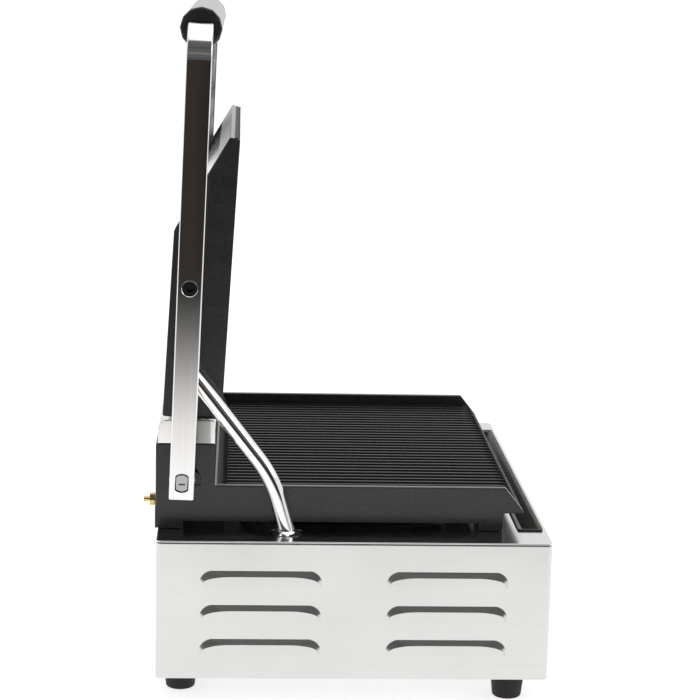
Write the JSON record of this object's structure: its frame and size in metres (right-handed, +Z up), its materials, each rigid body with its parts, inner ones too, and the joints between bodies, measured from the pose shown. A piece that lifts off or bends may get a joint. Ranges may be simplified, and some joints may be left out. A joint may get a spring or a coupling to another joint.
{
  "type": "panini press",
  "caption": "Open contact grill: stainless louvred base, ribbed cast-iron lower plate, ribbed upper plate floating between two sprung chrome arms with a black grip, drip tray and dial.",
  "frame": {"origin": "centre of the object's footprint on the surface it stands on, under the middle of its whole width and depth", "axes": "+X towards the right-hand side seen from the operator, -Y towards the operator (front), +Z up"},
  "size_m": [0.4144, 0.333, 0.5311],
  "materials": {
    "stainless": "brushed stainless sheet",
    "polished": "polished stainless sheet",
    "chrome": "bright chrome plate",
    "steel": "plain zinc-plated steel",
    "cast_iron": "vitreous black cast iron",
    "enamel": "black vitreous enamel",
    "blackened": "black oxide",
    "bakelite": "black thermoset, satin gloss",
    "rubber": "matt black",
    "brass": "machined",
    "bronze": "sintered bush",
    "ceramic": "white ceramic",
    "green": "clear tinted lens",
    "amber": "clear tinted lens"
  },
  "bodies": {
    "base": {"base_shell": "stainless", "top_cover": "stainless", "bottom_plate": "steel", "foot_front_left": "rubber", "foot_front_right": "rubber", "foot_rear_left": "rubber", "foot_rear_right": "rubber", "foot_screw_front_left": "steel", "foot_screw_front_right": "steel", "foot_screw_rear_left": "steel", "foot_screw_rear_right": "steel", "lower_plate": "cast_iron", "lower_heater": "steel", "lower_clamp_plate": "steel", "plate_bolt_1": "steel", "plate_bolt_2": "steel", "plate_bolt_3": "steel", "plate_bolt_4": "steel", "earth_stud": "brass", "earth_nut": "brass", "hinge_cover": "polished", "hinge_bush_left": "bronze", "hinge_bush_right": "bronze", "lift_spring_left": "steel", "lift_spring_right": "steel", "thermostat": "ceramic", "dial_plate": "polished", "switch_housing": "bakelite", "lamp_green": "green", "lamp_amber": "amber", "terminal_block": "ceramic", "cable_gland": "rubber", "conduit": "chrome", "conduit_flange": "chrome", "conduit_bush": "rubber", "conduit_pipe": "steel"},
    "lift_arms": {"arm_left": "chrome", "arm_right": "chrome", "hinge_shaft": "steel", "hinge_spacer_left": "steel", "hinge_spacer_right": "steel", "spring_collar_left": "steel", "spring_collar_right": "steel", "pivot_screw_left": "blackened", "pivot_screw_right": "blackened", "pivot_spacer_left": "chrome", "pivot_spacer_right": "chrome", "grip": "bakelite", "grip_core": "steel", "grip_cap_left": "bakelite", "grip_cap_right": "bakelite"},
    "upper_plate": {"upper_plate": "cast_iron", "upper_heater": "steel", "upper_clamp_plate": "steel", "upper_cover": "polished", "cover_screw_left": "steel", "cover_screw_right": "steel"},
    "knob": {"thermostat_knob": "bakelite"},
    "rocker": {"rocker_switch": "bakelite"},
    "tray": {"drip_tray": "enamel"}
  },
  "joints": [
    {"name": "lift", "type": "hinge", "parent": "base", "child": "lift_arms", "pos_m": [0, 0.1358, 0.1733], "axis": [1, 0, 0], "range_deg": [0, 82.68], "stiffness_Nm_per_rad": 8, "springref_deg": -17.19},
    {"name": "plate_float", "type": "hinge", "parent": "lift_arms", "child": "upper_plate", "pos_m": [0, 0.13106, 0.32343], "axis": [1, 0, 0], "range_deg": [0, 4.22]},
    {"name": "thermostat_turn", "type": "hinge", "parent": "base", "child": "knob", "pos_m": [0.095, -0.1575, 0.075], "axis": [0, 1, 0], "range_deg": [0, 270]},
    {"name": "switch_rock", "type": "hinge", "parent": "base", "child": "rocker", "pos_m": [-0.11, -0.1465, 0.075], "axis": [1, 0, 0], "range_deg": [0, 14]},
    {"name": "tray_slide", "type": "slide", "parent": "base", "child": "tray", "axis": [0, -0.5, 0.866], "range_m": [0, 0.045]}
  ],
  "couplings": [
    {"joint": "plate_float", "follows": "lift", "ratio": 0.050811}
  ]
}
